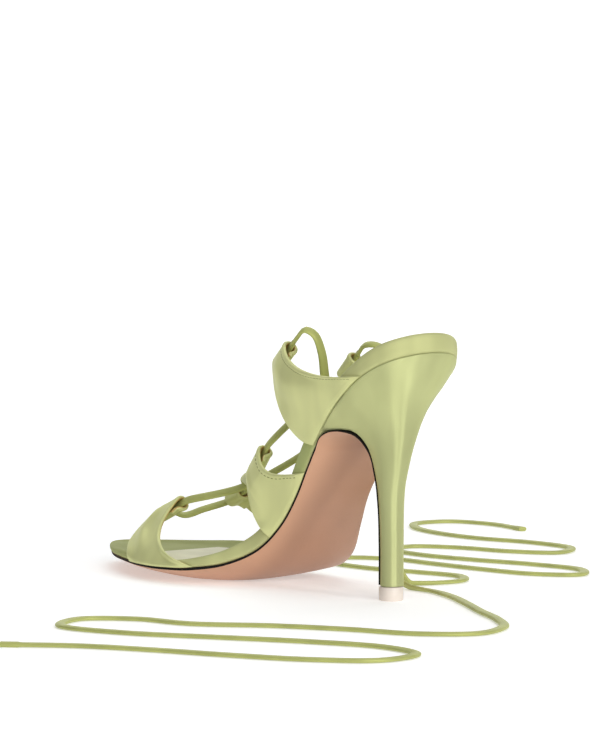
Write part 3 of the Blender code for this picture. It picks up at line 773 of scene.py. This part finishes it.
def build_outsole(leather, paint):
    """Leather sole and its flap down the heel's front, with a painted edge."""
    forward, near, far = (v[::-1] for v in sections(WAIST_END))
    middle = lift(forward, 0.0, -GAP - SOLE_EDGE / 2)
    flap, flap_near, flap_far = breast_flap(middle, near, far)
    fade = np.minimum(1, (near - far) / CROWN_WIDTH)
    crown = np.concatenate([profile("crown", forward) * fade, np.zeros(len(flap))])
    near = np.concatenate([near, flap_near])
    far = np.concatenate([far, flap_far])
    half = np.full(len(near), SOLE_EDGE / 2)
    half[len(forward):] = FLAP_EDGE / 2
    line = np.vstack([middle, flap])
    along = unit(np.gradient(line, axis=0))
    down = np.stack([-along[:, 2], 0 * along[:, 1], along[:, 0]], -1)
    # Each edge has two points: the outer one is raised and the inner one set in, for the bevel
    t = np.concatenate([[-1.0], np.linspace(-1, 1, SOLE_ACROSS), [1.0]])
    inset = np.zeros(len(t))
    inset[[1, -2]] = 1, -1
    raised = np.zeros(len(t))
    raised[[0, -1]] = BEVEL_HEIGHT
    points = []
    for i in range(len(line)):
        wide = near[i] - far[i]
        bevel = min(BEVEL_WIDTH, BEVEL_SHARE * wide)
        side = (near[i] + far[i]) / 2 + wide / 2 * t + inset * bevel
        bulge = crown[i] * (1 - t * t)
        low = line[i] + np.outer(half[i] + bulge - raised, down[i])
        top = line[i] - np.outer(np.full(len(t), half[i]), down[i])
        low[:, 1] = side
        top[:, 1] = side
        if i < len(forward):
            low[:, 2] -= fall(forward[i], side)
            top[:, 2] -= fall(forward[i], side)
        low[:, 2] = np.maximum(low[:, 2], 0.0)
        points += [*low, *top[::-1]]
    around = 2 * len(t)
    faces = loop_faces(len(line), around)
    edge = {len(t) - 1, around - 1}
    tint = []
    for i in range(len(faces)):
        row, at = divmod(i, around)
        behind_flap = row >= len(forward) - FLAP_PAINT_ROWS and at >= len(t)
        tint.append(int(at in edge or behind_flap))
    caps = end_caps(len(line), around)
    tint += [1] * len(caps)
    piece("outsole_look", points, faces + caps, [leather, paint], tint, "outsole")


def rim():
    """The footbed's edge all round, with the point on its spine that each edge point faces."""
    forward, near, far = sections(SEAT_CENTRE)
    angle = np.linspace(0, math.pi / 2, SEAT_STEPS + 1)[:-1]
    seat_forward = SEAT_CENTRE - SEAT_RADIUS * np.cos(angle)
    seat_side = SEAT_RADIUS * np.sin(angle)
    f = np.concatenate([seat_forward, forward, forward[-2::-1], seat_forward[:0:-1]])
    m = np.concatenate([seat_side, near, far[-2::-1], -seat_side[:0:-1]])
    spine_end = OUTLINE[-2][0]
    spine_f = np.clip(f, SEAT_CENTRE, spine_end)
    spine_m = (half_width("medial", spine_f) - half_width("lateral", spine_f)) / 2
    return np.stack([f, m], -1), np.stack([spine_f, spine_m], -1)


def footbed_rings():
    """Rings from the middle of the underside round the rand to the spine.

    Each has its inset from the edge, its share of the way to the spine, its share of the rand's
    height, and its drop.
    """
    section = np.array(RAND_SECTION, float)
    knots = np.arange(len(section))
    fine = np.linspace(0, len(section) - 1, RAND_STEPS)
    inset, rise, drop = (smooth(knots, section[:, k], fine) for k in range(3))
    rings = [(0.0, share, 0.0, 0.0) for share in UNDER_SHARES]
    rings += list(zip(inset, 0 * inset, rise, drop))
    rings += [(gap, 0.0, 1.0, depth) for gap, depth in MARGIN_RINGS]
    gap, depth = MARGIN_RINGS[-1]
    rings += [(gap * (1 - share), share, 1.0, depth + SOCK_DROP * share) for share in SOCK_SHARES]
    return rings


def footbed_look(ring, forward, medial):
    """Name of the material on a face of the footbed."""
    toe_shade_start = TOE_SHADE_START_MEDIAL if medial > 0 else TOE_SHADE_START_LATERAL
    in_wing_shade = medial > 0 and WAIST_SHADE_SPAN[0] < forward < WAIST_SHADE_SPAN[1]
    # The sock is pale, and paler still as painted light
    if ring >= SOCK_RING and forward < SOCK_END:
        return "sock"
    # Painted shade: darker satin on the inner wall and the toe
    if ring >= SHADED_WALL_RING or forward > toe_shade_start:
        return "inner_satin"
    # Painted shade: darker satin on the medial rand between the wings
    if in_wing_shade and ring >= WAIST_SHADE_RING:
        return "waist_satin"
    return "rand_satin_painted_shade"


def build_footbed(materials):
    """Wrapped insole with a rounded rand and a sock set in its top, with painted shade and light."""
    edge, spine = rim()
    reach = np.linalg.norm(spine - edge, axis=1, keepdims=True)
    inward = (spine - edge) / reach
    lean = SEAT_LEAN * np.clip((LEAN_START - edge[:, :1]) / (LEAN_START - LEAN_FULL), 0, 1)
    rings = footbed_rings()
    points = []
    for gap, share, rise, drop in rings:
        plan = edge + inward * (np.minimum(gap + share * reach, reach) - lean * rise * (1 - share))
        rand_top = rand_height(plan[:, 0], plan[:, 1])
        drop = drop * (1 + DISH * step_up(plan[:, 0], DISH_START, DISH_FULL))
        height = rise * rand_top - np.minimum(drop, DEEPEST_DISH * rand_top)
        points += [*lift(plan[:, 0], plan[:, 1], height)]
    faces = loop_faces(len(rings), len(edge))
    tint = []
    for i in range(len(faces)):
        ring, at = divmod(i, len(edge))
        forward, medial = (edge[at] + edge[(at + 1) % len(edge)]) / 2
        tint.append(FOOTBED_LOOKS.index(footbed_look(ring, forward, medial)))
    piece("footbed_look", points, faces, materials, tint, "footbed", FOOTBED_SHARP)


def heel_loop(front, front_up, back, back_up, wide, front_wide):
    """Round-backed section: from its medial front corner round the back to the lateral one."""
    depth = front - back
    turn = min(wide, HEEL_TURN * depth)
    angle = np.linspace(0, math.pi / 2, HEEL_ROUND)
    run = np.linspace(0, 1, HEEL_SIDE + 1)[1:]
    f = np.concatenate([back + turn * (1 - np.cos(angle)), back + turn + (depth - turn) * run])
    out = np.concatenate([wide * np.sin(angle), wide + (front_wide - wide) * run**2])
    up = back_up + (front_up - back_up) * (f - back) / depth
    side = np.stack([f, out, up], -1)
    return np.vstack([side[::-1], side * (1, -1, 1)])


def build_heel(satin):
    """Covered heel, from its tip to the seat under the footbed."""
    rows = np.array(HEEL)
    at = np.linspace(0, len(HEEL) - 1, HEEL_STEPS)
    fine = [smooth(np.arange(len(HEEL)), rows[:, k], at) for k in range(len(HEEL_COLUMNS))]
    loops = [heel_loop(*row) for row in zip(*fine)]
    top = heel_loop(HEEL_FRONT, 0.0, SEAT_CENTRE - SEAT_RADIUS, 1.0, SEAT_RADIUS, SEAT_RADIUS)
    sole_at = np.maximum(top[:, 0], SEAT_CENTRE)
    medial = np.minimum(top[:, 1], half_width("medial", sole_at))
    medial = np.maximum(medial, -half_width("lateral", sole_at))
    medial *= 1 + HEEL_FLARE / SEAT_RADIUS
    seat = lift(top[:, 0], medial, -GAP)
    last = loops[-1]
    for t in SEAT_BLENDS:
        loops.append(last + (seat - last) * t)
    loops.append(lift(top[:, 0], medial * SEAT_TRIM, -GAP))
    around = len(top)
    faces = loop_faces(len(loops), around) + end_caps(len(loops), around)
    piece("heel_look", np.vstack(loops), faces, [satin], None, "heel", HEEL_SHARP)


def build_top_lift(rubber):
    """Block under the heel's tip, with bevelled edges."""
    front, _, back, _, wide, front_wide = HEEL[0]
    loops = []
    for up, grow in LIFT_BEVELS:
        front_at = front + LIFT_FRONT + grow
        loops.append(heel_loop(front_at, up, back - grow, up, wide + grow, front_wide + grow))
    around = len(loops[0])
    faces = loop_faces(len(loops), around) + end_caps(len(loops), around)
    piece("top_lift_look", np.vstack(loops), faces, [rubber], None, "top_lift")


def edge_point(side, forward, out, height):
    """A point outside the sole's edge, lifted above the feather line."""
    name = "medial" if side > 0 else "lateral"
    slope = half_width(name, forward + SLOPE_HALF) - half_width(name, forward - SLOPE_HALF)
    size = np.sqrt(1 + slope**2)
    medial = side * (half_width(name, forward) + out / size)
    return lift(forward - out * slope / size, medial, height)


def wing_kind(name):
    """Which pair a wing belongs to: toe, mid or rear."""
    return name.split("_")[1]


def wing_row(name):
    """A wing's row of the table by column, and its side: 1 medial, -1 lateral."""
    row = dict(zip(WING_COLUMNS, WINGS[name]))
    return row, np.sign(row["rear_tip"][1])


def tunnel(name):
    """Axis ends of a wing's lace tunnel, with its direction, rise and inward normal."""
    row, side = wing_row(name)
    rear, front = np.array(row["rear_tip"], float), np.array(row["front_tip"], float)
    bend = (np.array(row["rear_bend"], float) + np.array(row["front_bend"], float)) / 2
    axis = unit(front - rear)
    rise = (rear + front) / 2 - bend
    rise = unit(rise - axis * np.dot(rise, axis))
    inward = np.cross(axis, rise) * side
    shift = inward * TUNNEL_RADIUS
    return rear + shift, front + shift, axis, rise, inward


def wing_surface(name):
    """Middle surface of a wing, row by row from the feather line to the folded flap."""
    row, side = wing_row(name)
    s = np.linspace(0, 1, WING_ACROSS)
    out = RAND_BULGE + STRAP_GAPS * GAP + STRAP_THICKNESS / 2
    low = row["low"][0] + (row["low"][1] - row["low"][0]) * s
    high = row["high"][0] + (row["high"][1] - row["high"][0]) * s
    edge = "medial" if side > 0 else "lateral"
    taper = 1 - REAR_TAPER[wing_kind(name)] * (1 - s) ** 2
    foot, tuck_share, tuck_reach = STRAP_FOOT[wing_kind(name)]
    rows = []
    for k in SIDE_SHARES:
        forward = low + (high - low) * k
        rand = rand_height(forward, side * half_width(edge, forward))
        height = foot + k * taper * (rand + STRAP_CLEARANCE + STRAP_THICKNESS / 2)
        tuck = tuck_share * rand * max(0.0, 1 - tuck_reach * k) ** 2
        rows.append(edge_point(side, forward, out - tuck - STRAP_TOP_IN * k**4, height))
    base = rows[-1]
    bend = np.outer(1 - s, row["rear_bend"]) + np.outer(s, row["front_bend"])
    tip = np.outer(1 - s, row["rear_tip"]) + np.outer(s, row["front_tip"])
    for t in np.linspace(0, 1, WING_PANEL_ROWS + 1)[1:]:
        rows.append(bezier(base, bend, tip, t))
    speed = 2 * np.linalg.norm(tip - bend, axis=1)[:, None]
    _, _, _, rise, inward = tunnel(name)
    centre = tip + inward * TUNNEL_RADIUS
    for turn in np.linspace(0, LOOP_END, WING_LOOP_ROWS + 1)[1:]:
        rows.append(centre + TUNNEL_RADIUS * (rise * math.sin(turn) - inward * math.cos(turn)))
    lap = inward * (STRAP_THICKNESS + FLAP_GAP)
    for down in np.linspace(0, FLAP_LENGTH, FLAP_ROWS + 1)[1:]:
        rows.append(bezier(base, bend, tip, 1 - (TUNNEL_RADIUS + down) / speed) + lap)
    rows = np.array(rows)
    ease(rows, WING_EASE)
    eased = rows.copy()
    ease(eased[slice(*BASE_EASE_ROWS)], BASE_EASE)
    inside = step_up(np.minimum(s, 1 - s), 0, BASE_EASE_MARGIN)[None, :, None]
    return rows + (eased - rows) * inside


def crease_heights(name, rows, across):
    """Height of the soft folds over a wing's grid."""
    s = np.linspace(0, 1, across)[None, :]
    t = ((np.arange(rows) - WING_SIDE_ROWS) / WING_PANEL_ROWS)[:, None]
    window = step_up(t, *CREASE_RISE) * (1 - step_up(t, *CREASE_FADE))
    total = np.zeros((rows, across))
    for base, tip, half, height in CREASES[wing_kind(name)]:
        centre = base + (tip - base) * np.clip(t, 0, 1)
        total += height * window * np.exp(-(((s - centre) / half) ** 2))
    return total


def build_wing(name, satin, lining):
    """Satin over a leather lining, with rounded edges and a banded rear edge; gives its stitches."""
    middle = wing_surface(name)
    rows, across, _ = middle.shape
    _, side = wing_row(name)
    normal = unit(np.cross(np.gradient(middle, axis=1), np.gradient(middle, axis=0)))
    if normal[WING_SIDE_ROWS, across // 2, 1] * side < 0:
        normal = -normal
    middle = middle + normal * crease_heights(name, rows, across)[..., None]
    over = unit(np.gradient(middle, axis=1))
    from_edge = np.linalg.norm(middle - middle[:, :1], axis=2)
    half = np.full(rows, STRAP_THICKNESS / 2)
    thicker = (STRAP_THICKNESS - STRAP_BASE) / 2 * step_up(SIDE_SHARES, 0, STRAP_FULL)
    half[:WING_SIDE_ROWS] = STRAP_BASE / 2 + thicker
    band_rows = step_up(np.arange(rows), *BAND_ROWS)[:, None]
    band = BAND_HEIGHT * (1 - step_up(from_edge, *BAND_END)) * band_rows
    turn = np.linspace(0, math.pi, EDGE_ROUND + 1)[1:-1][:, None]
    points = []
    for r in range(rows):
        n = normal[r]
        outer = middle[r] + n * (half[r] + band[r])[:, None]
        inner = middle[r] - n * half[r]
        front = middle[r, -1] + half[r] * (np.cos(turn) * n[-1] + np.sin(turn) * over[r, -1])
        rear = middle[r, 0] + half[r] * (-np.cos(turn) * n[0] - np.sin(turn) * over[r, 0])
        points += [*outer, *front, *inner[::-1], *rear]
    around = 2 * across + 2 * (EDGE_ROUND - 1)
    faces = loop_faces(rows, around)
    first_inner = across + EDGE_ROUND - 1
    last_inner = first_inner + across - 1
    last_lined = last_inner + LINED_STRIPS[wing_kind(name)]
    first_tunnel = WING_SIDE_ROWS + WING_PANEL_ROWS - LINED_ROWS
    tint = []
    for i in range(len(faces)):
        row, at = divmod(i, around)
        in_tunnel = first_inner <= at < last_inner and row >= first_tunnel
        on_edge = last_inner <= at < last_lined and row > LINED_AFTER
        tint.append(int(in_tunnel or on_edge))
    ends = end_rings(rows, around)
    tint += [0] * len(ends)
    piece(name + "_look", points, faces + ends, [satin, lining], tint, name, WING_SHARP)
    if wing_kind(name) not in SEAMS:
        return []
    step, length, radius = SEAMS[wing_kind(name)]
    surface = middle + normal * half[:, None, None]
    return [(*stitch, length, radius) for stitch in seam_line(surface, from_edge, normal, step)]


def seam_line(surface, from_edge, normal, step):
    """Stitch centres, directions and normals along a wing's rear edge."""
    path, ups = [], []
    first_free, last_free = SEAM_FREE_ROWS
    for r in range(first_free, WING_SIDE_ROWS + WING_PANEL_ROWS - last_free):
        i = int(np.argmin(np.abs(from_edge[r] - SEAM_DEPTH)))
        i = min(max(i, 1), surface.shape[1] - 2)
        low = i if from_edge[r, i] <= SEAM_DEPTH else i - 1
        t = (SEAM_DEPTH - from_edge[r, low]) / (from_edge[r, low + 1] - from_edge[r, low])
        path.append(surface[r, low] * (1 - t) + surface[r, low + 1] * t)
        ups.append(normal[r, i])
    path, ups = np.array(path), np.array(ups)
    run = run_along(path)
    at = np.arange(step, run[-1], step)
    spots = read_along(at, run, path)
    along = unit(np.gradient(spots, axis=0))
    return list(zip(spots, along, unit(read_along(at, run, ups))))


def build_stitches(stitches, thread):
    """Short threads sunk halfway into the satin."""
    shape = loop_faces(len(STITCH_SECTION), STITCH_SIDES) + end_rings(len(STITCH_SECTION), STITCH_SIDES)
    points, faces = [], []
    for spot, along, up, length, radius in stitches:
        across = np.cross(along, up)
        faces += [tuple(len(points) + i for i in face) for face in shape]
        for share, size in STITCH_SECTION:
            for k in range(STITCH_SIDES):
                a = 2 * math.pi * k / STITCH_SIDES
                ring = across * math.cos(a) + up * math.sin(a)
                points.append(spot + along * share * length + radius * size * ring)
    piece("stitches", points, faces, [thread])


def lace_route():
    """Through the tunnels: up one side, across the toes and up the other side."""
    route = []
    for wing, forwards, after in LACE_COURSE:
        rear, front, axis, _, _ = tunnel(wing)
        stops = [rear - axis * LACE_LEAD, rear, front, front + axis * LACE_LEAD]
        route += stops if forwards else stops[::-1]
        route += after
    return np.array(route)


def across_line(v, along):
    """The part of each direction that is square to the line."""
    return v - along * np.sum(v * along, axis=-1, keepdims=True)


def untwisted(along, facing):
    """Broad-side directions along a lace, turned to the facing ones with either face out."""
    up = across_line(facing, along)
    current = unit(up[0])
    for i in range(len(up)):
        current = unit(across_line(current, along[i]))
        aim = up[i] if np.dot(up[i], current) > 0 else -up[i]
        current = unit(current + TWIST_RATE * aim)
        up[i] = current
    ease(up, TWIST_EASE)
    return unit(across_line(up, along))


def ribbon(name, line, facing, satin, node, grow):
    """Flat lace along a line, its broad side turned to the facing directions."""
    along = unit(np.gradient(line, axis=0))
    up = untwisted(along, facing)
    across = np.cross(along, up)
    angle = np.linspace(0, 2 * math.pi, LACE_ROUND, endpoint=False)
    wide = np.sign(np.cos(angle)) * np.abs(np.cos(angle)) ** LACE_POWER * LACE_WIDTH / 2
    deep = np.sign(np.sin(angle)) * np.abs(np.sin(angle)) ** LACE_POWER * LACE_THICKNESS / 2
    points = []
    for i in range(len(line)):
        points += [*(line[i] + np.outer(wide, across[i]) + np.outer(deep * grow[i], up[i]))]
    points = np.array(points)
    points[:, 2] = np.maximum(points[:, 2], 0.0)
    faces = loop_faces(len(line), LACE_ROUND) + end_rings(len(line), LACE_ROUND)
    return piece(name, points, faces, [satin], None, node, LACE_SHARP)


def build_lace(satin):
    """Lace through the tunnels and its two free ends, which swell at their hems."""
    route = lace_route()
    line = through(route, LACE_STEPS)
    facing = np.tile(LACE_FACING, (len(line), 1))
    ribbon("lace_look", line, facing, satin, "lace", np.ones(len(line)))
    for name, first, second, hang, floor in (
        ("tie_medial", route[0], route[1], MEDIAL_HANG, MEDIAL_FLOOR),
        ("tie_lateral", route[-1], route[-2], LATERAL_HANG, LATERAL_FLOOR),
    ):
        away = unit(first - second)
        stops = [*hang, *((*spot, FLOOR) for spot in floor)]
        line = through([first + away * GAP, first + away * TIE_LEAD, *stops], TIE_STEPS)
        line[:, 2] = np.maximum(line[:, 2], FLOOR)
        run = run_along(line)
        stations, facings = zip(*TIE_FACING[name])
        facing = read_along(run, stations, np.array(facings))
        hem = run[-1] - HEM_LENGTH
        grow = 1 + HEM_SWELL * step_up(run, hem - HEM_STEP, hem)
        obj = ribbon(name + "_look", line, facing, satin, name, grow)


def set_axes(obj, right, above, back, spot):
    """Place a camera or a lamp, which look along their own -Z axis."""
    axes = Matrix.Identity(4)
    for i in range(3):
        axes[i] = (right[i], above[i], back[i], spot[i])
    obj.matrix_world = axes


def add_camera():
    turn, pitch = CAMERA_TURN, CAMERA_PITCH
    right = (math.sin(turn), -math.cos(turn), 0.0)
    above = (math.cos(turn) * math.sin(pitch), math.sin(turn) * math.sin(pitch), math.cos(pitch))
    back = (-math.cos(turn) * math.cos(pitch), -math.sin(turn) * math.cos(pitch), math.sin(pitch))
    data = bpy.data.cameras.new("camera")
    data.lens = CAMERA_LENS
    data.sensor_width = CAMERA_SENSOR
    data.clip_end = CAMERA_REACH
    camera = bpy.data.objects.new("camera", data)
    set_axes(camera, right, above, back, CAMERA_PLACE)
    bpy.context.scene.collection.objects.link(camera)
    bpy.context.scene.camera = camera


def add_light(name, spot, aim, size, power):
    """Soft rectangular light that faces its aim."""
    data = bpy.data.lights.new(name, "AREA")
    data.shape = "RECTANGLE"
    data.size, data.size_y = size
    data.energy = power
    lamp = bpy.data.objects.new(name, data)
    back = unit(np.array(spot, float) - np.array(aim, float))
    right = unit(np.cross((0.0, 0.0, 1.0), back))
    set_axes(lamp, right, np.cross(back, right), back, spot)
    bpy.context.scene.collection.objects.link(lamp)


def add_backdrop():
    """Pale floor that curves up into a backdrop."""
    bends = np.linspace(COVE_START, math.pi / 2, COVE_STEPS)
    side_view = [(STAGE_NEAR, 0.0), (STAGE_FAR, 0.0)]
    for a in bends:
        side_view.append((STAGE_FAR + COVE_RADIUS * math.sin(a), COVE_RADIUS - COVE_RADIUS * math.cos(a)))
    side_view.append((STAGE_FAR + COVE_RADIUS, BACKDROP_TOP))
    turn = CAMERA_TURN
    points = []
    for y, z in side_view:
        for x in (-STAGE_HALF, STAGE_HALF):
            across = x * math.sin(turn) + y * math.cos(turn)
            points.append((across, -x * math.cos(turn) + y * math.sin(turn), z))
    faces = [(2 * i, 2 * i + 1, 2 * i + 3, 2 * i + 2) for i in range(len(side_view) - 1)]
    mesh = bpy.data.meshes.new("backdrop")
    mesh.from_pydata(points, [], faces)
    mesh.shade_smooth()
    mat, _, shader = new_material("backdrop", BACKDROP, BACKDROP_ROUGHNESS, BACKDROP_SPECULAR)
    shader.inputs["Emission Color"].default_value = (1, 1, 1, 1)
    shader.inputs["Emission Strength"].default_value = BACKDROP_GLOW
    mesh.materials.append(mat)
    backdrop = bpy.data.objects.new("backdrop", mesh)
    bpy.context.scene.collection.objects.link(backdrop)


def add_lights():
    """Even light from all round, soft lights on the shoe and a wash on the backdrop."""
    world = bpy.data.worlds.new("studio")
    world.use_nodes = True
    background = world.node_tree.nodes["Background"]
    background.inputs["Color"].default_value = (1, 1, 1, 1)
    background.inputs["Strength"].default_value = WORLD_GLOW
    bpy.context.scene.world = world
    for light in LIGHTS:
        add_light(*light)
    ahead = np.array([math.cos(CAMERA_TURN), math.sin(CAMERA_TURN), 0])
    lamp, aim = (ahead * far + (0, 0, up) for far, up in (WASH_LAMP, WASH_AIM))
    add_light("wash", lamp, aim, WASH_SIZE, WASH_POWER)
    bpy.context.scene.view_settings.view_transform = "Standard"
    bpy.context.scene.view_settings.exposure = 0.0


def main():
    looks = {name: satin_material(name, *finish) for name, finish in SATINS.items()}
    looks["sole_leather"] = leather_material()
    for name, finish in GRAINED.items():
        looks[name] = grained_material(name, *finish)
    build_outsole(looks["sole_leather"], looks["edge_paint"])
    build_footbed([looks[name] for name in FOOTBED_LOOKS])
    build_heel(looks["heel_satin"])
    build_top_lift(looks["lift_rubber"])
    stitches = []
    for name in WINGS:
        stitches += build_wing(name, looks["wing_satin_painted_light"], looks["lining"])
    build_stitches(stitches, looks["thread"])
    build_lace(looks["lace_satin_painted_shade"])
    add_backdrop()
    add_lights()
    add_camera()


main()
